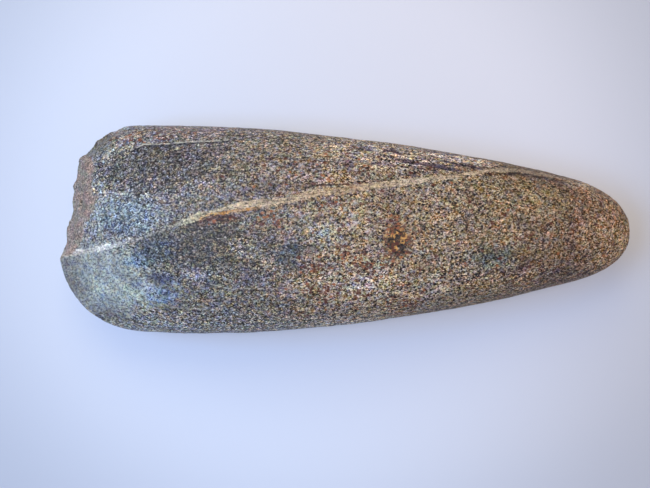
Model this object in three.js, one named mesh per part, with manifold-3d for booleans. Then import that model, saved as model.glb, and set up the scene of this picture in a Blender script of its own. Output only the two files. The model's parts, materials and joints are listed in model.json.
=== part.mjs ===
// A polished stone axe head with no haft, lying on one of its faces as it does when it is put down.
// Millimetres. +X runs from the cutting edge to the butt, +Z is up, and the origin is on the ground,
// under the middle of the stone.

import * as THREE from 'three';
import { mergeVertices } from 'three/addons/utils/BufferGeometryUtils.js';
import Module from 'manifold-3d';

// Length before the edge broke, from the cutting edge to the butt
const EDGE_X = -91.6;
const BUTT_X = 90;
const BUTT_Y = -1.6;

// Each half of the plan is three cubic curves: the cutting edge out to the shoulder, the shoulder to
// the cheek, and the cheek to the tip of the butt. Edge and corner are how full the first one is.
const UPPER_SIDE = {
  edge: 22.7,
  corner: 15,
  shoulder: [-64, 32.85],
  bulge: [-20, 32.6],
  taper: [27, 26.4],
  cheek: [66, 17.3],
  turn: [75, 14.8],
  nose: 11.3,
};
const LOWER_SIDE = {
  edge: -25,
  corner: 16.5,
  shoulder: [-60, -32.9],
  bulge: [-22, -34.7],
  taper: [28, -28.2],
  cheek: [66, -18.2],
  turn: [76, -16],
  nose: -12.1,
};

// Thickness, measured from the level of the cutting edge, and how it falls away to both ends
const TOP_RISE = 21.6;
const BOTTOM_RISE = 21.2;
const REST_DEPTH = 20.4;
const THICKEST_X = -5;
const REACH_TO_EDGE = 118;
const REACH_TO_BUTT = 118;
const SWELL_POWER = 2.5;

// The spine runs along the middle of the stone and stops short of both ends
const SPINE_START_X = -54;
const SPINE_END_X = 66;
const SPINE_SPREAD = 12;
const SPINE_TURN = 0.4;
const SPINE_SOFTNESS = 9;

// A section is a wedge at the cutting edge and a soft oval along the sides
const WEDGE = { fall: 1.9, roundness: 1.15 };
const OVAL = { fall: 2.5, roundness: 2.4 };
const WEDGE_ENDS = 0.1;
const OVAL_BEGINS = 0.4;

// Mesh density, and how close points must be to count as one
const STATIONS = 74;
const RING_POINTS = 48;
const SAME_POINT = 1e-4;

// The break: the edge is lost between two cusps, and its face leans back from the underside.
// Each scar ends at a cusp, given at the level of the cutting edge, and bites in between by its depth.
const BREAK_START = [-90.6, -9.4];
const BREAK_SCARS = [
  { cusp: [-87.4, 0.2], depth: 1.2 },
  { cusp: [-85.1, 9.6], depth: 0.9 },
  { cusp: [-85.6, 13.7], depth: 0.1 },
  { cusp: [-84.3, 16.2], depth: 0.3 },
  { cusp: [-84.1, 22.6], depth: 0.1 },
];
const SCAR_SEGMENTS = 5;
const BREAK_LEAN = 0.55;
const BREAK_SKEW = 0.2;
const BREAK_BOW = 0.35;
const BOW_RATE = 0.35;
const BREAK_LAYERS = 10;

// Small flake scars along the corner above the break, as shallow bites of a ball from above. Each
// ends at a cusp, as the break's scars do.
const CHIP_RADIUS = 9;
const CHIP_TILT = 40;
const CHIP_START = [-84.4, 22.5];
const CHIPS = [
  { cusp: [-78.8, 27.9], depth: 1.25 },
  { cusp: [-74.9, 30.3], depth: 0.6 },
  { cusp: [-70.8, 32], depth: 0.35 },
];
const BALL_SEGMENTS = 24;
const BALL_RINGS = 16;

// Room left around the stone by the shapes that cut it
const MARGIN = 30;

const { lerp, smoothstep } = THREE.MathUtils;
const wasm = await Module();
wasm.setup();

// A solid from a closed geometry
function toSolid(geometry) {
  geometry.deleteAttribute('normal');
  geometry.deleteAttribute('uv');
  const merged = mergeVertices(geometry, SAME_POINT);
  const vertProperties = new Float32Array(merged.attributes.position.array);
  const triVerts = new Uint32Array(merged.index.array);
  return new wasm.Manifold(new wasm.Mesh({ numProp: 3, vertProperties, triVerts }));
}

// A geometry from a solid
function toGeometry(solid) {
  const mesh = solid.getMesh();
  const geometry = new THREE.BufferGeometry();
  geometry.setAttribute('position', new THREE.BufferAttribute(mesh.vertProperties, 3));
  geometry.setIndex(new THREE.BufferAttribute(mesh.triVerts, 1));
  return geometry;
}

// One half of the plan outline, from the middle of the cutting edge to the tip of the butt
function sideOutline(shape) {
  const path = new THREE.Path();
  const [shoulderX, shoulderY] = shape.shoulder;
  path.moveTo(EDGE_X, 0);
  path.bezierCurveTo(EDGE_X, shape.edge, shoulderX - shape.corner, shoulderY, ...shape.shoulder);
  path.bezierCurveTo(...shape.bulge, ...shape.taper, ...shape.cheek);
  path.bezierCurveTo(...shape.turn, BUTT_X, shape.nose, BUTT_X, BUTT_Y);
  return path;
}

// The larger of two values, with the corner between them rounded
function softMax(a, b, softness) {
  return b + softness * Math.log1p(Math.exp((a - b) / softness));
}

// The spine's point for a station, about halfway between its two outline points
function spinePoint(share, upper, lower) {
  const middleX = (upper.x + lower.x) / 2;
  const start = SPINE_START_X + SPINE_SPREAD * smoothstep(share, 0, SPINE_TURN);
  const end = SPINE_END_X - SPINE_SPREAD * smoothstep(1 - share, 0, SPINE_TURN);
  const fromStart = softMax(middleX, start, SPINE_SOFTNESS);
  const x = -softMax(-fromStart, -end, SPINE_SOFTNESS);
  return new THREE.Vector2(x, BUTT_Y * smoothstep(x, SPINE_START_X, BUTT_X));
}

// How much of the full rise is left at a place along the spine
function swell(x) {
  const reach = x < THICKEST_X ? REACH_TO_EDGE : REACH_TO_BUTT;
  return 1 - (Math.abs(x - THICKEST_X) / reach) ** SWELL_POWER;
}

// The whole axe head before it was damaged: rings of points lofted from the edge to the butt
function axeBody() {
  const upperSide = sideOutline(UPPER_SIDE);
  const lowerSide = sideOutline(LOWER_SIDE);
  const positions = [];
  for (let i = 0; i <= STATIONS; i++) {
    const share = i / STATIONS;
    const upper = upperSide.getPoint(share);
    const lower = lowerSide.getPoint(share);
    const spine = spinePoint(share, upper, lower);
    const blend = smoothstep(share, WEDGE_ENDS, OVAL_BEGINS);
    const fall = lerp(WEDGE.fall, OVAL.fall, blend);
    const roundness = lerp(WEDGE.roundness, OVAL.roundness, blend);
    for (let j = 0; j < RING_POINTS; j++) {
      const angle = (2 * Math.PI * j) / RING_POINTS;
      const outward = Math.abs(Math.cos(angle));
      const side = Math.cos(angle) > 0 ? lower : upper;
      const rise = Math.sin(angle) > 0 ? TOP_RISE : -BOTTOM_RISE;
      const point = spine.clone().lerp(side, outward);
      const height = Math.max(0, 1 - outward ** fall) ** (1 / roundness);
      positions.push(point.x, point.y, rise * swell(point.x) * height);
    }
  }
  const index = [];
  for (let i = 0; i < STATIONS; i++) {
    for (let j = 0; j < RING_POINTS; j++) {
      const next = (j + 1) % RING_POINTS;
      const a = i * RING_POINTS + j;
      const b = i * RING_POINTS + next;
      const c = a + RING_POINTS;
      const d = b + RING_POINTS;
      index.push(a, c, b, b, c, d);
    }
  }
  const geometry = new THREE.BufferGeometry();
  geometry.setAttribute('position', new THREE.Float32BufferAttribute(positions, 3));
  geometry.setIndex(index);
  return toSolid(geometry);
}

// What broke off the cutting edge: a block whose side is a row of scars, leaning back as it rises
function lostEdge() {
  const shape = new THREE.Shape();
  const left = EDGE_X - MARGIN;
  shape.moveTo(left, BREAK_START[1] - MARGIN);
  shape.lineTo(left / 2 + BREAK_START[0] / 2, BREAK_START[1] - MARGIN);
  shape.lineTo(...BREAK_START);
  let from = BREAK_START;
  for (const { cusp, depth } of BREAK_SCARS) {
    // A quadratic curve passes halfway between its chord and its control point
    shape.quadraticCurveTo((from[0] + cusp[0]) / 2 + 2 * depth, (from[1] + cusp[1]) / 2, ...cusp);
    from = cusp;
  }
  shape.lineTo(left / 2 + from[0] / 2, from[1] + MARGIN);
  shape.lineTo(left, from[1] + MARGIN);
  const options = {
    depth: 2 * MARGIN,
    steps: BREAK_LAYERS,
    bevelEnabled: false,
    curveSegments: SCAR_SEGMENTS,
  };
  const block = new THREE.ExtrudeGeometry(shape, options);
  block.translate(0, 0, -MARGIN);
  const position = block.attributes.position;
  for (let i = 0; i < position.count; i++) {
    const z = position.getZ(i);
    const bow = BREAK_BOW * Math.sin(z * BOW_RATE);
    position.setX(i, position.getX(i) + BREAK_LEAN * z + bow);
    position.setY(i, position.getY(i) + BREAK_SKEW * z);
  }
  return toSolid(block);
}

// One chip: a ball whose surface passes just inside the edge between two cusps
function chip(from, to, depth) {
  const along = new THREE.Vector2(to[0] - from[0], to[1] - from[1]).normalize();
  const outX = -along.y;
  const outY = along.x;
  const tilt = THREE.MathUtils.degToRad(CHIP_TILT);
  const offset = (CHIP_RADIUS - depth) * Math.cos(tilt);
  const height = (CHIP_RADIUS - depth) * Math.sin(tilt);
  const ball = new THREE.SphereGeometry(CHIP_RADIUS, BALL_SEGMENTS, BALL_RINGS);
  const middleX = (from[0] + to[0]) / 2;
  const middleY = (from[1] + to[1]) / 2;
  ball.translate(middleX + outX * offset, middleY + outY * offset, height);
  return toSolid(ball);
}

// What the ground flat takes off the belly, so that the stone lies still
function groundBelow() {
  const block = new THREE.BoxGeometry(2 * BUTT_X, 2 * BUTT_X, MARGIN);
  block.translate(0, 0, -REST_DEPTH - MARGIN / 2);
  return toSolid(block);
}

function axeHead() {
  let solid = axeBody().subtract(lostEdge()).subtract(groundBelow());
  let from = CHIP_START;
  for (const { cusp, depth } of CHIPS) {
    solid = solid.subtract(chip(from, cusp, depth));
    from = cusp;
  }
  const stone = new THREE.MeshStandardMaterial({ color: 0x7e7672, roughness: 0.6, metalness: 0 });
  const mesh = new THREE.Mesh(toGeometry(solid), stone);
  mesh.name = 'axe_head';
  mesh.geometry.computeBoundingBox();
  const middle = mesh.geometry.boundingBox.getCenter(new THREE.Vector3());
  mesh.geometry.translate(-middle.x, -middle.y, -mesh.geometry.boundingBox.min.z);
  return mesh;
}

const axe = new THREE.Group();
axe.add(axeHead());

export default axe;
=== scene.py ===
import json
import math

import bpy
import numpy as np
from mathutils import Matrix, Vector, noise

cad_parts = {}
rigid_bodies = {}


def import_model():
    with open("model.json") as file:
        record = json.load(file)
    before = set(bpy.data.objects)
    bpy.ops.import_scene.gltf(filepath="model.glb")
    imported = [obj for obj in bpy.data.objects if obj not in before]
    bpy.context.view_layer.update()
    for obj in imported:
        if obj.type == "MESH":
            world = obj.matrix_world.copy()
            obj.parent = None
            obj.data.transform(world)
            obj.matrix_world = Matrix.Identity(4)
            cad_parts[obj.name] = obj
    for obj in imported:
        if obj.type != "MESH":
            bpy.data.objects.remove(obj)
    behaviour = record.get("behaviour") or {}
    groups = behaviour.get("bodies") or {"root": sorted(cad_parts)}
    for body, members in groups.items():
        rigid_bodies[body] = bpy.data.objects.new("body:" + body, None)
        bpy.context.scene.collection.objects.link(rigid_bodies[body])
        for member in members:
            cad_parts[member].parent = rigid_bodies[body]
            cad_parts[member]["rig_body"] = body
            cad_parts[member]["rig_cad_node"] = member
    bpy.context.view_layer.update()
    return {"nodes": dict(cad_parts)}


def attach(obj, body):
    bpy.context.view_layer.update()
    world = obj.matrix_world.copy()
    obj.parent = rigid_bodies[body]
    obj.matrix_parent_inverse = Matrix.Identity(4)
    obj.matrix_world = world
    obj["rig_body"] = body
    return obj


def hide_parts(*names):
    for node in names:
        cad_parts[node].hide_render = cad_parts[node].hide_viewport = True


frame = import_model()


# The axe head: one piece of dark layered rock with a pale quartz vein. It was pecked to shape, then
# ground all over, and polished most at the blade. Part of the cutting edge has broken off.

MM = 0.001

# In millimetres, the level of the cutting edge above the ground, and the grid of the finished
# surface; in degrees, the angle from which an edge of the solid stays sharp
edge_level = 20.4
grid_size = 0.61
sharp_angle = 32

# The vein, where it bends, widens or fades on the upper face: along the stone, across it, half its
# width and its strength
vein_line = [
    (-88.5, -7.5, 1.3, 1.0),
    (-80.0, -7.0, 0.8, 0.8),
    (-73.5, -5.5, 1.2, 1.0),
    (-70.0, -5.2, 0.5, 0.7),
    (-60.0, -2.5, 0.5, 0.4),
    (-52.5, 0.5, 0.4, 0.5),
    (-46.0, 2.8, 1.4, 0.8),
    (-41.0, 4.5, 0.7, 0.7),
    (-34.0, 6.0, 1.4, 1.0),
    (-27.5, 7.0, 1.5, 0.9),
    (-19.0, 8.0, 1.1, 0.8),
    (-9.0, 10.6, 1.3, 0.7),
    (-2.0, 11.2, 1.1, 0.5),
    (6.0, 12.4, 1.1, 0.8),
    (19.0, 14.0, 1.0, 0.9),
    (31.0, 15.5, 0.6, 0.7),
    (45.0, 17.8, 0.6, 0.7),
    (54.0, 18.0, 0.6, 0.6),
    (69.0, 15.5, 0.5, 0.5),
    (84.0, 9.0, 0.5, 0.2),
]

# How far the vein moves across for each millimetre that it runs below the edge's level
vein_dip = 0.25

# Three hair seams, each from end to end
seam_lines = [
    [(-66.5, 24.0), (-62.0, 26.0), (-51.0, 26.3), (-35.5, 27.2)],
    [(-41.0, -16.8), (-34.0, -18.3), (-25.5, -18.1), (-11.5, -19.1)],
    [(-55.5, -24.0), (-39.0, -24.8)],
]

# The broken face as it runs at the edge's level, along and across, and how far it leans back and
# runs across for each millimetre that it rises
break_line = [
    (-90.3, -9.2),
    (-87.4, -4.4),
    (-87.0, 0.4),
    (-85.0, 5.0),
    (-84.7, 9.8),
    (-85.3, 13.9),
    (-84.0, 16.4),
    (-83.7, 22.8),
    (-90.0, 30.0),
]
break_lean = 0.55
break_skew = 0.2

# Flakes that came off the upper face as the edge broke: along, across, two radii and depth
flakes = [
    (-79.6, 7.2, 4.0, 4.8, 0.45),
    (-81.0, 16.5, 2.9, 6.2, 0.30),
    (-84.0, 0.0, 2.6, 3.6, 0.30),
    (-79.6, 24.6, 3.4, 2.2, 0.20),
    (-75.0, 27.8, 3.6, 2.0, 0.18),
    (-70.2, 30.4, 3.4, 1.8, 0.15),
]

# A copy of the solid, without the marks of a CAD node, is merged. Its facets are rounded, but its
# sharp edges nearly keep their shape, and it is given an even fine skin.
sharpness_kept = 0.9
bpy.ops.object.select_all(action="DESELECT")
solid = frame["nodes"]["axe_head"]
solid.select_set(True)
bpy.context.view_layer.objects.active = solid
bpy.ops.object.duplicate()
axe = bpy.context.object
axe.name = "ground_stone"
axe.parent = None
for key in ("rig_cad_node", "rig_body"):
    del axe[key]
bpy.ops.object.mode_set(mode="EDIT")
bpy.ops.mesh.select_all(action="SELECT")
bpy.ops.mesh.remove_doubles(threshold=0.01 * MM)
bpy.ops.mesh.dissolve_degenerate(threshold=0.02 * MM)
bpy.ops.mesh.select_all(action="DESELECT")
bpy.ops.mesh.select_mode(type="EDGE")
bpy.ops.mesh.edges_select_sharp(sharpness=math.radians(sharp_angle))
bpy.ops.transform.edge_crease(value=sharpness_kept)
bpy.ops.object.mode_set(mode="OBJECT")
rounding = axe.modifiers.new("rounding", "SUBSURF")
rounding.levels = rounding.render_levels = 2
skin = axe.modifiers.new("skin", "REMESH")
skin.mode = "VOXEL"
skin.voxel_size = grid_size * MM
easing = axe.modifiers.new("easing", "SMOOTH")
easing.iterations = 1
easing.factor = 0.4
for modifier in ("rounding", "skin", "easing"):
    bpy.ops.object.modifier_apply(modifier=modifier)

# Where each point of the skin lies, in millimetres, with heights counted from the edge's level
skin_mesh = axe.data
count = len(skin_mesh.vertices)


def skin_vectors(name):
    """The place or the normal of each point of the skin."""
    values = np.empty(count * 3)
    skin_mesh.vertices.foreach_get(name, values)
    return values.reshape(-1, 3)


place = skin_vectors("co") / MM
outward = skin_vectors("normal")
along = place[:, 0]
across = place[:, 1]
height = place[:, 2] - edge_level

# The vein is a sheet that dips below the edge's level, so it shows on the underside too
vein_x, vein_y, vein_halves, vein_strengths = np.array(vein_line).T
vein_gap = across - np.interp(along, vein_x, vein_y) + vein_dip * np.minimum(height, 0)
vein_half = np.interp(along, vein_x, vein_halves)
vein_strength = np.interp(along, vein_x, vein_strengths)

# The hair seams stay on the upper face, and the first of them is the clearest
far_off = 9.0


def seam_distance(points):
    """Signed distance across a hair seam, or a large one where it doesn't run."""
    seam_x, seam_y = np.array(points).T
    gap = across - np.interp(along, seam_x, seam_y)
    absent = (along < seam_x[0]) | (along > seam_x[-1]) | (height < 0)
    return np.where(absent, far_off, gap)


seam_gaps = np.array([seam_distance(points) for points in seam_lines])
nearest = np.abs(seam_gaps).argmin(axis=0)
seam_gap = np.clip(seam_gaps[nearest, np.arange(count)], -far_off, far_off)
seam_strength = np.where(nearest == 0, 1.0, 0.5)


def soft_step(value, start, end):
    """0 before start and 1 after end, with a smooth rise between them."""
    share = np.clip((value - start) / (end - start), 0, 1)
    return share * share * (3 - 2 * share)


def grain_noise(points, size, octaves):
    """Rough noise from -1 to 1 at each point, whose largest lumps have that size."""
    return np.array([noise.fractal(Vector(p), 1.0, 2.0, octaves) for p in points / size])


def pit_depth(points, size, share, radius):
    """0 to 1: round pits, one in some of the cells of that size, chosen by the share."""
    depth = np.zeros(len(points))
    # Spread out, the middles of neighbouring pits get different random numbers
    spread = 7.3
    for i, p in enumerate(points / size):
        distances, cells = noise.voronoi(Vector(p))
        if noise.cell(cells[0] * spread) < share[i]:
            depth[i] = max(0.0, 1 - (distances[0] * size / radius) ** 2)
    return depth


# How far a point is inside the broken face, and how deep it lies in a flake's scar
beside_it = -99
break_x, break_y = np.array(break_line).T
face_y = across - break_skew * height
face_x = np.interp(face_y, break_y, break_x, left=beside_it, right=beside_it)
break_gap = (along - face_x - break_lean * height) / math.hypot(1, break_lean)
ragged = grain_noise(place + 7, size=2.6, octaves=3)
broken = 1 - soft_step(break_gap + 0.7 * ragged, 1.3, 2.9)
flake_floor = -1.5
flaked = np.zeros(count)
scar_depth = np.zeros(count)
for flake_x, flake_y, radius_x, radius_y, depth in flakes:
    reach = np.hypot((along - flake_x) / radius_x, (across - flake_y) / radius_y) + 0.22 * ragged
    in_scar = np.where(height > flake_floor, 1 - soft_step(reach, 0.75, 1.05), 0)
    flaked = np.maximum(flaked, in_scar)
    scar_depth = np.maximum(scar_depth, depth * in_scar)
rough = np.maximum(broken, 0.6 * flaked)

# The relief, in millimetres: soft waves from grinding, the grain and its layers, peck marks, the
# rough break and the vein, which is harder and stands a little proud. Each kind of noise is taken
# at a place of its own, so that no two run together.
wave_height = 0.20
lump_height = 0.06
layer_height = 0.12
hackle_height = 0.30
fine_hackle_height = 0.14
vein_rise = 0.14
pit_floor = 0.24
small_pit_floor = 0.16
polish = 1 - soft_step(along, -62, -25)
waves = wave_height * grain_noise(place, size=17, octaves=3)
lumps = lump_height * grain_noise(place + 40, size=2.4, octaves=3)
layers = place * (0.10, 0.35, 1.0) + (0, 0, 5)
flank = 1 - soft_step(np.abs(outward[:, 2]), 0.45, 0.85)
layered = layer_height * grain_noise(layers, size=1.6, octaves=3) * flank
pecked = 0.06 + 0.22 * soft_step(along, -45, 15)
pits = pit_depth(place, size=2.1, share=pecked, radius=0.7)
small_pits = pit_depth(place + 90, size=1.4, share=pecked * 1.3, radius=0.6)
hackle = hackle_height * grain_noise(place + 17, size=3.0, octaves=4)
hackle = hackle + fine_hackle_height * grain_noise(place + 63, size=1.1, octaves=2)
in_vein = 1 - soft_step(np.abs(vein_gap), vein_half * 0.6, vein_half + 0.5)
relief = waves + (lumps + layered) * (1 - 0.6 * polish) + vein_rise * vein_strength * in_vein
relief = relief - pit_floor * pits * (1 - 0.5 * polish) - small_pit_floor * small_pits
relief = relief * (1 - rough) + hackle * rough - scar_depth
place = place + outward * relief[:, None]
place[:, 2] = np.maximum(place[:, 2], 0)
skin_mesh.vertices.foreach_set("co", (place * MM).ravel())

for name, values in (
    ("vein_gap", vein_gap),
    ("vein_half", vein_half),
    ("vein_strength", vein_strength),
    ("seam_gap", seam_gap),
    ("seam_strength", seam_strength),
    ("broken", broken),
    ("flaked", flaked),
    ("pits", np.maximum(pits, 0.8 * small_pits)),
):
    layer = skin_mesh.attributes.new(name, "FLOAT", "POINT")
    layer.data.foreach_set("value", values.astype(np.float32))
skin_mesh.update()
bpy.ops.object.shade_smooth()

# The finish is built from nodes, on places in millimetres. A helper that the ground uses too is
# given the node tree.
finish = bpy.data.materials.new("veined_stone")
finish.use_nodes = True
tree = finish.node_tree
tree.nodes.clear()


def add_node(tree, kind, inputs=None, **settings):
    """A node with its settings, and with a value or a link for each input named or numbered."""
    made = tree.nodes.new(kind)
    for key, value in settings.items():
        setattr(made, key, value)
    for key, value in (inputs or {}).items():
        if isinstance(value, bpy.types.NodeSocket):
            tree.links.new(value, made.inputs[key])
        else:
            made.inputs[key].default_value = value
    return made


def maths(tree, operation, *values, clamp=False):
    """The result of one Math node."""
    inputs = dict(enumerate(values))
    return add_node(tree, "ShaderNodeMath", inputs, operation=operation, use_clamp=clamp).outputs[0]


def fade(tree, value, start, end, low=0.0, high=1.0):
    """low up to start and high from end, with a smooth change between them."""
    inputs = {"Value": value, "From Min": start, "From Max": end, "To Min": low, "To Max": high}
    made = add_node(tree, "ShaderNodeMapRange", inputs, interpolation_type="SMOOTHSTEP")
    return made.outputs["Result"]


def vectors(tree, operation, *values, result="Vector"):
    """The result of one Vector Math node."""
    inputs = dict(enumerate(values))
    return add_node(tree, "ShaderNodeVectorMath", inputs, operation=operation).outputs[result]


def ramp(tree, factor, stops):
    """The colour at that place along a row of (place, colour) stops."""
    made = add_node(tree, "ShaderNodeValToRGB", {"Fac": factor})
    elements = made.color_ramp.elements
    while len(elements) < len(stops):
        elements.new(1.0)
    for element, (position, stop_colour) in zip(elements, stops):
        element.position = position
        element.color = stop_colour
    return made.outputs["Color"]


def shade(red, green, blue):
    """A colour named by its screen values from 0 to 255, as a linear one."""
    values = [c / 255 for c in (red, green, blue)]
    return [*(c / 12.92 if c <= 0.04045 else ((c + 0.055) / 1.055) ** 2.4 for c in values), 1.0]


def grey(value):
    """A colour that stands for a plain number, such as a mask or a factor."""
    return (value, value, value, 1)


def product(*values):
    """The values multiplied together."""
    result = values[0]
    for value in values[1:]:
        result = maths(tree, "MULTIPLY", result, value)
    return result


def tint(amount, under, over, mode="MIX"):
    """The colour over laid on the colour under, by that amount."""
    inputs = {0: amount, 6: under, 7: over}
    made = add_node(tree, "ShaderNodeMix", inputs, data_type="RGBA", blend_type=mode)
    return made.outputs[2]


def times(under, factor, amount=1.0):
    """The colour under multiplied by the factor, by that amount."""
    return tint(amount, under, factor, "MULTIPLY")


def clouds(vector, scale, detail=2.0, roughness=0.5, output=0):
    """A Noise node's value from 0 to 1, or three of them for the output "Color"."""
    inputs = {"Vector": vector, "Scale": scale, "Detail": detail, "Roughness": roughness}
    return add_node(tree, "ShaderNodeTexNoise", inputs).outputs[output]


def tinge(under, scale, detail, swing):
    """The colour under, with its red, green and blue each drifting by that swing about 1."""
    drift = clouds(spot, scale, detail, roughness=0.6, output="Color")
    factor = vectors(tree, "MULTIPLY_ADD", drift, swing, [1 - s / 2 for s in swing])
    return times(under, factor)


# Patch: a round mask with a soft edge, about a centre and with three radii in millimetres
patch = bpy.data.node_groups.new("Stone patch", "ShaderNodeTree")
for label, kind, side in (
    ("Place", "NodeSocketVector", "INPUT"),
    ("Centre", "NodeSocketVector", "INPUT"),
    ("Radii", "NodeSocketVector", "INPUT"),
    ("Softness", "NodeSocketFloat", "INPUT"),
    ("Mask", "NodeSocketFloat", "OUTPUT"),
):
    patch.interface.new_socket(label, in_out=side, socket_type=kind)
given = patch.nodes.new("NodeGroupInput").outputs
apart = vectors(patch, "SUBTRACT", given["Place"], given["Centre"])
apart = vectors(patch, "DIVIDE", apart, given["Radii"])
apart = vectors(patch, "LENGTH", apart, result="Value")
inner = maths(patch, "SUBTRACT", 1.0, given["Softness"])
outer = maths(patch, "ADD", 1.0, given["Softness"])
patch_mask = fade(patch, apart, inner, outer, 1.0, 0.0)
patch.links.new(patch_mask, patch.nodes.new("NodeGroupOutput").inputs["Mask"])

# Places in millimetres: as they are, bent much or little by noise for ragged edges, and turned to
# lie with the rock's layers
coordinates = add_node(tree, "ShaderNodeTexCoord").outputs["Object"]
spot = vectors(tree, "MULTIPLY", coordinates, (1 / MM, 1 / MM, 1 / MM))
bending = clouds(spot, scale=0.25, detail=4.0, roughness=0.65, output="Color")
bending = vectors(tree, "SUBTRACT", bending, (0.5, 0.5, 0.5))
bent = vectors(tree, "MULTIPLY_ADD", bending, (10, 8, 8), spot)
near = vectors(tree, "MULTIPLY_ADD", bending, (3, 2, 2), spot)
layering = {"Vector": spot, "Rotation": (math.radians(-8), math.radians(2), math.radians(-6))}
layered_place = add_node(tree, "ShaderNodeMapping", layering).outputs[0]
spot_x = add_node(tree, "ShaderNodeSeparateXYZ", {0: bent}).outputs["X"]


def patch_at(vector, centre, radii, softness):
    """The mask of one patch."""
    inputs = {"Place": vector, "Centre": centre, "Radii": radii, "Softness": softness}
    return add_node(tree, "ShaderNodeGroup", inputs, node_tree=patch).outputs["Mask"]


def patched(under, rows, vector=bent, slope=0.0):
    """The colour under with patches on it, each a centre, radii, softness, colour and strength.

    With a slope, the patches are slanted: they rise by that much for each millimetre along.
    """
    if slope:
        vector = vectors(tree, "MULTIPLY_ADD", spot_x, (0, -slope, 0), vector)
    for (x, y, z), radii, softness, over, strength in rows:
        mask = patch_at(vector, (x, y - slope * x, z), radii, softness)
        under = tint(product(mask, strength), under, over)
    return under


def measured(name):
    """A distance or strength stored on the mesh."""
    return add_node(tree, "ShaderNodeAttribute", attribute_name=name).outputs["Fac"]


# The ground colour along the stone, from the grey blade over tan to the olive butt
blade_to_butt = [
    (0.00, shade(146, 148, 144)),
    (0.10, shade(136, 138, 136)),
    (0.20, shade(116, 113, 109)),
    (0.32, shade(118, 110, 102)),
    (0.42, shade(131, 118, 104)),
    (0.52, shade(146, 128, 104)),
    (0.64, shade(140, 122, 99)),
    (0.76, shade(130, 109, 83)),
    (0.88, shade(117, 91, 70)),
    (1.00, shade(164, 130, 92)),
]
half_length = 90.0
whole_length = {"Value": spot_x, "From Min": -half_length, "From Max": half_length}
length_share = add_node(tree, "ShaderNodeMapRange", whole_length).outputs["Result"]
colour = ramp(tree, length_share, blade_to_butt)

# Broad patches of other colours, then small ones with clearer edges, then slanted streaks that
# follow the upper side down to the butt. The pale blue-grey patches on the polished blade are
# partly its own colour and partly a painted reflection of the sky.
colour = patched(
    colour,
    [
        ((-58, 18, 34), (23, 7, 16), 0.30, shade(83, 79, 79), 0.90),
        ((-46, 23.5, 30), (16, 1.8, 14), 0.50, shade(80, 75, 77), 0.60),
        ((-50, 29.5, 22), (28, 2.5, 12), 0.40, shade(145, 126, 116), 0.60),
        # Partly painted reflection: the blue-grey sheen where the polished blade facet mirrors the
        # window's sky
        ((-66, 3.5, 32), (12, 6, 14), 0.40, shade(123, 138, 146), 0.95),
        # Partly painted reflection, in these two rows: the pale blue-grey of the polished lower
        # blade, where it mirrors the sky
        ((-74, -14, 26), (13, 10, 16), 0.45, shade(156, 166, 162), 0.90),
        ((-68, -19, 28), (10, 6, 14), 0.55, shade(168, 180, 172), 0.85),
        ((-80, 27.5, 22), (9, 5, 10), 0.50, shade(100, 95, 80), 0.90),
        ((-61, -9.5, 34), (5, 2.2, 9), 0.45, shade(120, 150, 170), 0.85),
        ((-43, -6, 40), (20, 8.5, 14), 0.30, shade(75, 70, 62), 0.90),
        ((-57, -6.5, 36), (6, 3.6, 9), 0.45, shade(72, 82, 90), 0.80),
        ((-34, -22, 32), (16, 4, 14), 0.40, shade(110, 108, 102), 0.70),
        ((-30, -28, 22), (40, 4, 12), 0.40, shade(120, 123, 122), 0.60),
        ((-46.7, -15.8, 37), (8, 5, 10), 0.50, shade(118, 122, 124), 0.60),
        ((-17.0, -8.0, 41), (4.4, 3.8, 8), 0.45, shade(74, 80, 84), 0.80),
        ((-27.5, -14.8, 39), (3.8, 2.8, 8), 0.50, shade(88, 90, 98), 0.70),
        ((-30.5, -5.0, 41), (4.5, 3.2, 8), 0.50, shade(126, 119, 108), 0.70),
        ((-10, -16, 38), (6.5, 4.0, 10), 0.45, shade(154, 138, 108), 0.70),
        ((6, -17, 38), (12, 6, 12), 0.45, shade(160, 145, 128), 0.60),
        ((-6, -3, 41), (5, 4, 8), 0.50, shade(164, 160, 142), 0.75),
        ((-12, 17, 38), (14, 4, 12), 0.45, shade(140, 124, 112), 0.60),
        ((16, 23, 32), (24, 5, 13), 0.40, shade(174, 158, 142), 0.75),
        ((44, -9, 36), (7.0, 4.0, 9), 0.50, shade(80, 90, 86), 0.70),
        ((22, -17, 35), (11, 5, 10), 0.50, shade(154, 138, 118), 0.55),
        ((22, 3, 40), (14, 8, 10), 0.45, shade(132, 110, 84), 0.60),
        ((58, -13.5, 26), (22, 3.0, 14), 0.35, shade(110, 90, 78), 0.70),
        ((52, 8, 34), (16, 7, 12), 0.45, shade(136, 114, 82), 0.60),
        ((-84.5, -17, 22), (3.5, 6, 8), 0.50, shade(122, 122, 112), 0.60),
        ((-72, -28.5, 22), (9, 3.0, 8), 0.50, shade(120, 120, 110), 0.60),
    ],
)
colour = patched(
    colour,
    [
        ((-55.6, -15.2, 36), (4.6, 1.6, 8), 0.45, shade(62, 70, 94), 0.80),
        ((-56.2, -20.4, 34), (5.0, 2.8, 8), 0.50, shade(124, 146, 168), 0.75),
        ((-63.5, -17.3, 34), (1.6, 1.4, 8), 0.50, shade(96, 112, 140), 0.50),
        ((-43.4, 1.6, 41), (2.2, 2.2, 6), 0.40, shade(70, 62, 62), 0.80),
        ((-37.1, 2.9, 41), (5.8, 1.3, 6), 0.45, shade(84, 62, 48), 0.80),
        ((-2.2, 15.2, 39), (5.0, 1.6, 8), 0.50, shade(170, 140, 110), 0.80),
        ((0.9, 19.5, 37), (2.7, 1.3, 6), 0.50, shade(96, 74, 82), 0.80),
        ((5.2, 24.6, 34), (3.8, 1.2, 6), 0.50, shade(112, 108, 118), 0.70),
        ((74.1, 13.6, 24), (8.0, 1.3, 7), 0.50, shade(172, 154, 136), 0.70),
    ],
    near,
)
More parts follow.
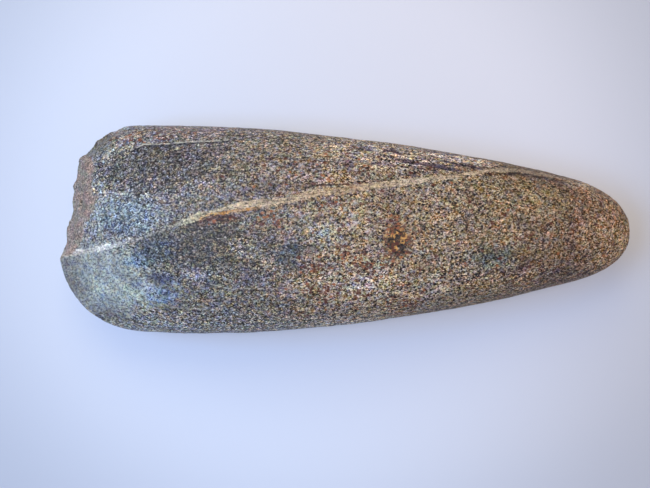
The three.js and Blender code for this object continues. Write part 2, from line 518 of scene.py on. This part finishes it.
colour = patched(
    colour,
    [
        ((14.7, 23.8, 34), (3.6, 0.8, 6), 0.40, shade(74, 56, 68), 0.90),
        ((19.2, 20.6, 36), (3.0, 0.8, 6), 0.45, shade(82, 64, 76), 0.85),
        ((29.2, 18.6, 36), (6.4, 0.8, 6), 0.40, shade(76, 62, 76), 0.90),
        ((36.2, 19.3, 33), (7.4, 0.5, 6), 0.45, shade(76, 60, 70), 0.85),
        ((20.5, 16.2, 38), (2.0, 0.5, 6), 0.45, shade(78, 64, 72), 0.80),
        ((35.0, 21.8, 30), (10.0, 1.3, 7), 0.45, shade(220, 200, 184), 0.80),
        ((30.0, 23.6, 30), (8.0, 0.6, 7), 0.45, shade(96, 80, 90), 0.70),
        ((62.0, 15.2, 28), (9.0, 0.6, 7), 0.45, shade(84, 66, 62), 0.50),
    ],
    near,
    slope=-0.18,
)

# Colours drift from place to place and from grain to grain, between blue-grey and orange-brown, and
# least at the blade
lively = patched(
    grey(1.0),
    [
        ((-76, -15, 26), (20, 13, 18), 0.35, grey(0.42), 1.0),
        ((-66, 3.5, 32), (14, 8, 14), 0.40, grey(0.70), 1.0),
    ],
)
warmths = [
    (0.30, (0.84, 1.00, 1.30, 1)),
    (0.50, grey(1.00)),
    (0.70, (1.26, 0.98, 0.66, 1)),
]
drifted = tinge(colour, 0.24, 3.0, (0.50, 0.18, 1.00))
drifted = tinge(drifted, 0.80, 1.0, (0.66, 0.24, 1.50))
drifted = times(drifted, ramp(tree, clouds(spot, scale=0.75), warmths))
colour = tint(lively, colour, drifted)


def layer_clouds(scale, detail, roughness):
    """Noise that lies with the layers, with a scale along, across and through them."""
    return clouds(vectors(tree, "MULTIPLY", layered_place, scale), 1.0, detail, roughness)


# Layers: broad bands on the faces, and fine streaks where the sides cut through them
bands = layer_clouds((0.03, 0.11, 0.40), 4.0, 0.62)
streaks = layer_clouds((0.06, 0.22, 1.0), 3.0, 0.62)
band_tones = [
    (0.30, (1.32, 1.27, 1.18, 1)),
    (0.47, (1.03, 1.03, 1.02, 1)),
    (0.53, (0.97, 0.96, 0.97, 1)),
    (0.70, (0.66, 0.60, 0.66, 1)),
]
streak_tones = [
    (0.30, (1.50, 1.42, 1.30, 1)),
    (0.45, (1.06, 1.05, 1.03, 1)),
    (0.54, (0.94, 0.92, 0.95, 1)),
    (0.68, (0.50, 0.44, 0.54, 1)),
]
colour = times(colour, ramp(tree, bands, band_tones), 0.6)
colour = times(colour, ramp(tree, streaks, streak_tones), 0.6)

# Grains: every mineral grain has a tone and a warmth of its own, mostly under half a millimetre
jitter = clouds(spot, scale=2.2, detail=1.0, output="Color")
grain_place = vectors(tree, "MULTIPLY", layered_place, (0.78, 1.0, 1.1))
grain_place = vectors(tree, "MULTIPLY_ADD", jitter, (0.5, 0.5, 0.5), grain_place)


def grains(size):
    """A random tone, warmth and chance for each grain of that size."""
    cells = add_node(tree, "ShaderNodeTexVoronoi", {"Vector": grain_place, "Scale": 1 / size})
    return add_node(tree, "ShaderNodeSeparateColor", {0: cells.outputs["Color"]}).outputs


fine = grains(size=0.35)
clump = grains(size=0.95)
grit = clouds(spot, scale=2.8, detail=1.0)
tone = maths(tree, "MULTIPLY_ADD", clump[0], 0.05, product(fine[0], 0.64))
tone = maths(tree, "MULTIPLY_ADD", fade(tree, grit, 0.30, 0.70), 0.30, tone)
grain_tones = [
    (0.08, grey(0.02)),
    (0.24, grey(0.14)),
    (0.36, grey(0.52)),
    (0.50, grey(1.00)),
    (0.66, grey(1.55)),
    (0.82, grey(2.30)),
    (0.95, grey(3.20)),
]
contrast = patched(
    grey(1.14),
    [
        ((-58, 18, 34), (24, 8, 16), 0.30, grey(1.80), 1.0),
        ((-43, -6, 40), (24, 10, 14), 0.30, grey(1.56), 1.0),
        ((-30, -29, 22), (42, 6, 16), 0.40, grey(1.82), 1.0),
        ((-76, -16, 26), (18, 12, 18), 0.35, grey(0.48), 1.0),
        ((-80, 28, 24), (9, 6, 12), 0.40, grey(1.20), 1.0),
        ((52, -12, 30), (26, 5, 14), 0.40, grey(1.42), 1.0),
        ((72, 0, 34), (26, 12, 22), 0.40, grey(1.14), 1.0),
        ((0, 3, 42), (26, 12, 14), 0.50, grey(0.97), 1.0),
        ((-30, 28, 26), (50, 5, 12), 0.40, grey(1.45), 1.0),
        ((-56, -20, 34), (8, 5, 10), 0.40, grey(0.75), 1.0),
    ],
)
grain_tone = maths(tree, "POWER", ramp(tree, tone, grain_tones), contrast)
colour = times(colour, grain_tone)
warm = times(colour, (1.30, 0.98, 0.70, 1))
cool = times(colour, (0.82, 0.99, 1.26, 1))
colour = tint(fade(tree, fine[1], 0.60, 0.95, 0.0, 0.15), colour, warm)
colour = tint(fade(tree, fine[1], 0.40, 0.05, 0.0, 0.15), colour, cool)

# Dark grains keep their colour and are bluer, pale ones are greyer and yellower
saturation = {"Saturation": fade(tree, tone, 0.25, 0.75, 1.40, 0.75), "Color": colour}
colour = add_node(tree, "ShaderNodeHueSaturation", saturation).outputs["Color"]
grain_hues = [
    (0.25, (0.97, 0.97, 1.16, 1)),
    (0.50, grey(1.00)),
    (0.80, (1.00, 1.03, 0.90, 1)),
]
colour = times(colour, ramp(tree, tone, grain_hues))


def specks(cell, radius, chance, number):
    """Specks of about that radius in some of the cells of that size, in millimetres."""
    shifted = vectors(tree, "ADD", grain_place, (number * 13.7, number * 5.1, number * 9.3))
    cells = add_node(tree, "ShaderNodeTexVoronoi", {"Vector": shifted, "Scale": 1 / cell})
    drawn = add_node(tree, "ShaderNodeSeparateColor", {0: cells.outputs["Color"]}).outputs
    size = fade(tree, drawn[1], 0.0, 1.0, 0.5 * radius / cell, 1.25 * radius / cell)
    reach = maths(tree, "DIVIDE", cells.outputs["Distance"], size)
    chosen = maths(tree, "LESS_THAN", drawn[0], chance)
    return product(fade(tree, reach, 0.7, 1.2, 1.0, 0.0), chosen)


# Streaks: dark purple-grey layers crop out on the upper side and low on the lower one
full = grey(1)
streaky = patched(
    grey(0),
    [
        ((22, 21, 32), (40, 6, 14), 0.35, full, 1.0),
        ((56, -13, 26), (26, 5, 14), 0.40, full, 0.9),
        ((0, -26, 24), (50, 5, 12), 0.40, full, 0.6),
        ((-50, 29, 24), (26, 4, 12), 0.40, full, 0.5),
    ],
)
marks = layer_clouds((0.09, 0.45, 1.3), 2.0, 0.55)
dark_marks = product(fade(tree, marks, 0.56, 0.62, 0.0, 0.75), streaky)
pale_marks = product(fade(tree, marks, 0.46, 0.36, 0.0, 0.9), streaky)
colour = times(colour, (0.42, 0.34, 0.46, 1), dark_marks)
colour = times(colour, (1.22, 1.18, 1.12, 1), pale_marks)

# Rust: iron has bled out in spots of dark red and orange grains, and in one brown hollow
rusty = patched(
    grey(0),
    [
        ((15.3, -3.6, 41), (5.0, 6.4, 6), 0.45, full, 0.35),
        ((15.3, 0.8, 41), (4.2, 2.8, 6), 0.50, full, 0.6),
        ((19.6, -2.4, 41), (2.0, 2.2, 6), 0.45, full, 0.7),
        ((12.9, -9.8, 41), (3.0, 2.0, 6), 0.50, full, 0.7),
        ((5.7, -10.1, 41), (3.2, 3.2, 6), 0.50, full, 0.9),
        ((-0.7, -7.1, 41), (2.0, 2.4, 6), 0.50, full, 0.9),
        ((-10.3, -11.9, 40), (3.8, 2.0, 6), 0.50, full, 0.7),
        ((-9.4, -18.0, 38), (3.6, 1.6, 6), 0.50, full, 0.6),
        ((-3.3, -19.0, 38), (3.0, 2.0, 6), 0.50, full, 0.5),
        ((16.5, -22.5, 34), (5.5, 3.0, 8), 0.50, full, 0.5),
        ((-22.9, 2.5, 41), (4.6, 3.0, 6), 0.50, full, 0.45),
        ((-3.6, 7.4, 41), (4.5, 2.0, 6), 0.50, full, 0.5),
        ((45.0, 0.3, 38), (1.6, 1.2, 6), 0.50, full, 0.8),
        ((-37.1, 2.6, 41), (6.0, 1.8, 6), 0.45, full, 0.40),
        ((-60.1, 29.6, 26), (14, 3.5, 8), 0.50, full, 0.4),
        ((4, -16, 38), (22, 9, 12), 0.50, full, 0.17),
        ((-5, 17, 38), (24, 6, 12), 0.50, full, 0.16),
    ],
    near,
)
core = patch_at(near, (15.6, -3.8, 41), (3.6, 4.8, 6), 0.50)
haze = tint(fade(tree, clump[0], 0.40, 0.85), shade(44, 25, 13), shade(216, 158, 82))
hollows = fade(tree, clouds(spot, scale=0.8), 0.55, 0.47)
haze = tint(product(hollows, 0.9), haze, shade(26, 15, 10))
colour = tint(product(core, 0.92), colour, haze)
everywhere = fade(tree, spot_x, -30.0, 5.0, 0.0, 0.05)
rusty = maths(tree, "MAXIMUM", rusty, everywhere)
for cell, radius, number, dot_colour in (
    (1.00, 0.58, 1, shade(92, 40, 26)),
    (1.25, 0.42, 4, shade(166, 98, 56)),
):
    dotted = specks(cell, radius, rusty, number)
    colour = tint(product(dotted, 0.75), colour, dot_colour)

# The quartz vein: white at the blade, cream in the middle and tan beyond
wobble = maths(tree, "SUBTRACT", clouds(spot, scale=0.55, detail=4.0, roughness=0.65), 0.5)
vein_place = maths(tree, "MULTIPLY_ADD", wobble, 1.7, measured("vein_gap"))
vein_width = measured("vein_half")
inside = maths(tree, "SUBTRACT", vein_width, maths(tree, "ABSOLUTE", vein_place))
vein_mask = product(fade(tree, inside, -0.15, 0.25), measured("vein_strength"))
vein_mask = product(vein_mask, fade(tree, tone, 0.15, 0.45, 0.65, 1.0))
vein_colours = [
    (0.00, shade(226, 212, 196)),
    (0.06, shade(206, 204, 190)),
    (0.09, shade(218, 220, 212)),
    (0.12, shade(200, 198, 184)),
    (0.19, shade(152, 152, 142)),
    (0.25, shade(198, 190, 152)),
    (0.31, shade(186, 167, 138)),
    (0.36, shade(186, 167, 138)),
    (0.43, shade(196, 172, 136)),
    (0.49, shade(176, 144, 104)),
    (0.55, shade(194, 170, 134)),
    (0.60, shade(200, 180, 150)),
    (0.70, shade(202, 177, 142)),
    (0.78, shade(190, 170, 140)),
    (0.90, shade(172, 152, 130)),
]
vein_grain = maths(tree, "POWER", grain_tone, 0.28)
vein_streaks = layer_clouds((0.35, 1.5, 1.5), 3.0, 0.65)
vein_grain = product(vein_grain, fade(tree, vein_streaks, 0.32, 0.68, 0.62, 1.45))
vein_colour = tinge(ramp(tree, length_share, vein_colours), 0.9, 3.0, (0.45, 0.3, 0.75))
vein_colour = times(vein_colour, vein_grain)
colour = tint(vein_mask, colour, vein_colour)


def strip(value, middle, half, soft):
    """1 within half of the middle, fading to 0 over the width of soft."""
    away = maths(tree, "ABSOLUTE", maths(tree, "SUBTRACT", value, middle))
    return fade(tree, away, half, half + soft, 1.0, 0.0)


def stretch(start, end):
    """1 between two places along the stone, with soft ends."""
    soft_end = 4.0
    rise = fade(tree, spot_x, start, start + soft_end)
    return product(rise, fade(tree, spot_x, end - soft_end, end, 1.0, 0.0))


# Lines along the vein: ochre and dark rust under its wide part, dark threads above and below. Each
# has its side, distance and half width, its start and end, its colour and its strength.
above_vein = maths(tree, "SUBTRACT", vein_place, vein_width)
below_vein = maths(tree, "ADD", vein_place, vein_width)
patchy = fade(tree, clouds(spot, scale=0.5, detail=3.0, roughness=0.7), 0.38, 0.55, 0.35, 1.0)
for side, middle, half, start, end, line_colour, strength in (
    (below_vein, 0.35, 0.38, -45.0, -24.0, (1.02, 0.62, 0.20, 1), 1.0),
    (below_vein, -0.8, 0.30, -43.0, -32.0, (0.55, 0.32, 0.24, 1), 0.9),
    (below_vein, -0.4, 0.20, -22.0, -8.0, (0.42, 0.36, 0.36, 1), 0.8),
    (above_vein, 1.3, 0.15, -27.0, -16.0, (0.42, 0.34, 0.30, 1), 0.9),
    (above_vein, 0.9, 0.15, -15.0, 4.0, (0.24, 0.18, 0.17, 1), 0.9),
    (above_vein, 0.4, 0.15, 1.0, 17.0, (0.34, 0.26, 0.26, 1), 0.9),
    (below_vein, -0.60, 0.25, 38.0, 62.0, (0.25, 0.22, 0.24, 1), 1.0),
):
    line = product(strip(side, middle, half, 0.3), stretch(start, end), strength, patchy)
    colour = times(colour, line_colour, line)

# The hair seams: a pale thread with a dark one below it
thread = maths(tree, "MULTIPLY_ADD", wobble, 0.9, measured("seam_gap"))
thread_break = fade(tree, clouds(spot, scale=0.45), 0.38, 0.50, 0.10, 0.85)
thread_break = product(thread_break, measured("seam_strength"))
pale_thread = product(strip(thread, 0.0, 0.08, 0.22), thread_break)
dark_thread = product(strip(thread, -0.55, 0.20, 0.30), measured("seam_strength"))
colour = tint(pale_thread, colour, shade(204, 202, 184))
colour = times(colour, (0.32, 0.32, 0.40, 1), dark_thread)

# The break: a fresher, rough face with less contrast between its grains, red where it is deep
break_place = maths(tree, "MULTIPLY_ADD", wobble, 0.8, measured("broken"))
break_mask = fade(tree, break_place, 0.25, 0.70, 0.0, 0.85)
break_colours = [
    (0.34, shade(84, 66, 58)),
    (0.45, shade(143, 127, 112)),
    (0.55, shade(174, 154, 136)),
    (0.68, shade(212, 196, 178)),
]
break_colour = ramp(tree, clouds(spot, scale=1.9, detail=3.0, roughness=0.7), break_colours)
break_colour = tinge(break_colour, 0.35, 2.0, (1.10, 0.40, 0.70))
break_colour = times(break_colour, maths(tree, "POWER", grain_tone, 0.42))
colour = tint(break_mask, colour, break_colour)
flake_mask = maths(tree, "MULTIPLY_ADD", wobble, 0.8, measured("flaked"))
colour = tint(fade(tree, flake_mask, 0.30, 0.80, 0.0, 0.20), colour, shade(120, 112, 98))

# Pits are dark inside, and thickest from the middle to the butt
pit_mask = fade(tree, measured("pits"), 0.3, 0.9, 0.0, 0.30)
colour = tint(pit_mask, colour, shade(50, 42, 36))
pitted = fade(tree, spot_x, -60.0, 10.0, 0.3, 1.0)
pitted = product(pitted, fade(tree, spot_x, 38.0, 62.0, 1.0, 0.45))
dots = product(specks(cell=0.95, radius=0.34, chance=0.55, number=2), pitted)
dots = product(dots, maths(tree, "SUBTRACT", 1.0, vein_mask))
colour = tint(dots, colour, shade(26, 17, 15))
# Painted glints: pale specks in the colour stand for light glinting off the grains
glints = product(specks(cell=1.6, radius=0.26, chance=0.30, number=3), 0.7)
colour = tint(glints, colour, shade(200, 192, 178))

# Gloss and fine bumps: the blade is the smoothest, the pits and the break are dull
gloss = fade(tree, spot_x, -75.0, -10.0, 0.42, 0.62)
gloss = maths(tree, "MULTIPLY_ADD", maths(tree, "SUBTRACT", fine[2], 0.5), 0.16, gloss)
gloss = maths(tree, "MULTIPLY_ADD", break_mask, 0.25, gloss)
gloss = maths(tree, "MULTIPLY_ADD", pit_mask, 0.3, gloss, clamp=True)
bump_height = product(tone, fade(tree, spot_x, -75.0, -10.0, 0.5, 1.0))
bump_height = maths(tree, "MULTIPLY_ADD", dots, -1.5, bump_height)
bump_height = maths(tree, "MULTIPLY_ADD", streaks, 1.2, bump_height)
bump_inputs = {"Height": bump_height, "Strength": 0.6, "Distance": 0.12 * MM}
bumps = add_node(tree, "ShaderNodeBump", bump_inputs).outputs[0]
finished = {"Base Color": colour, "Roughness": gloss, "Normal": bumps}
surface = add_node(tree, "ShaderNodeBsdfPrincipled", finished)
surface.inputs["Specular IOR Level"].default_value = 0.38
add_node(tree, "ShaderNodeOutputMaterial", {"Surface": surface.outputs[0]})
skin_mesh.materials.clear()
skin_mesh.materials.append(finish)

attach(axe, "root")
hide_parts("axe_head")


# The ground: a plain sheet of pale paper that the stone lies on. Its colour is painted greyer away
# from the middle, as painted shade where the light falls off, and a little bluer towards the window
# and warmer on the other side, as painted tints of the window's and the lamp's light.

bpy.ops.mesh.primitive_plane_add(size=6.0, location=(0, 0, 0))
ground = bpy.context.object
ground.name = "ground"
paper = bpy.data.materials.new("pale_paper")
paper.use_nodes = True
paper_tree = paper.node_tree
paper_place = add_node(paper_tree, "ShaderNodeTexCoord").outputs["Object"]
from_middle = vectors(paper_tree, "SUBTRACT", paper_place, (-10 * MM, 8 * MM, 0))
from_middle = vectors(paper_tree, "LENGTH", from_middle, result="Value")
# Painted shade: the paper darkens away from the middle, as the light falls off towards the edges of
# the view
painted_falloff = fade(paper_tree, from_middle, 70 * MM, 150 * MM)
from_window = vectors(paper_tree, "DOT_PRODUCT", paper_place, (5.0, 3.0, 0), result="Value")
# Painted light: the paper is tinted bluer on the window's side and warmer on the other, as the
# window's and the lamp's light would colour it
painted_light_warmth = fade(paper_tree, from_window, -0.5, 0.5)
paper_greys_with_painted_falloff = [(0, (0.73, 0.745, 0.795, 1)), (1, (0.50, 0.516, 0.558, 1))]
painted_light_tints = [(0, (0.98, 1.05, 1.10, 1)), (1, (1.02, 0.985, 0.94, 1))]
paper_colour = ramp(paper_tree, painted_falloff, paper_greys_with_painted_falloff)
paper_colour = vectors(
    paper_tree, "MULTIPLY", paper_colour, ramp(paper_tree, painted_light_warmth, painted_light_tints)
)
paper_surface = paper_tree.nodes["Principled BSDF"]
paper_tree.links.new(paper_colour, paper_surface.inputs["Base Color"])
paper_surface.inputs["Roughness"].default_value = 0.85
ground.data.materials.append(paper)


# The light: a soft lamp overhead, a bluish window on the left, a weak warm lamp beyond the upper
# edge, and an even sky.

sky = bpy.data.worlds.new("soft_sky")
bpy.context.scene.world = sky
sky.use_nodes = True
sky_light = sky.node_tree.nodes["Background"].inputs
sky_light["Color"].default_value = (0.727, 0.80, 1.0, 1)
sky_light["Strength"].default_value = 0.33
for name, light_at, width, power, light_colour in (
    ("overhead", (0.0, 0.0, 2.0), 0.4, 13.9, (1.0, 0.889, 0.841)),
    ("window", (-0.5, 0.0, 0.9), 0.5, 5.76, (0.333, 0.542, 1.0)),
    ("lamp", (-0.1, 0.35, 0.5), 0.4, 1.1, (1.0, 0.818, 0.455)),
):
    bpy.ops.object.light_add(type="AREA", location=light_at)
    light = bpy.context.object
    light.name = name
    light.data.size = width
    light.data.energy = power
    light.data.color = light_colour
    light.rotation_euler = (-Vector(light_at)).to_track_quat("-Z", "Y").to_euler()


# The camera looks straight down, as in the photograph, from 400 mm above the level of the stone's
# cutting edge.

camera_height = 400 + edge_level
camera_at = (-6.04 * MM, -4.71 * MM, camera_height * MM)
bpy.ops.object.camera_add(location=camera_at, rotation=(0, 0, 0))
camera = bpy.context.object
camera.data.lens = 70
camera.data.sensor_width = 36
bpy.context.scene.camera = camera
bpy.context.scene.view_settings.view_transform = "Standard"
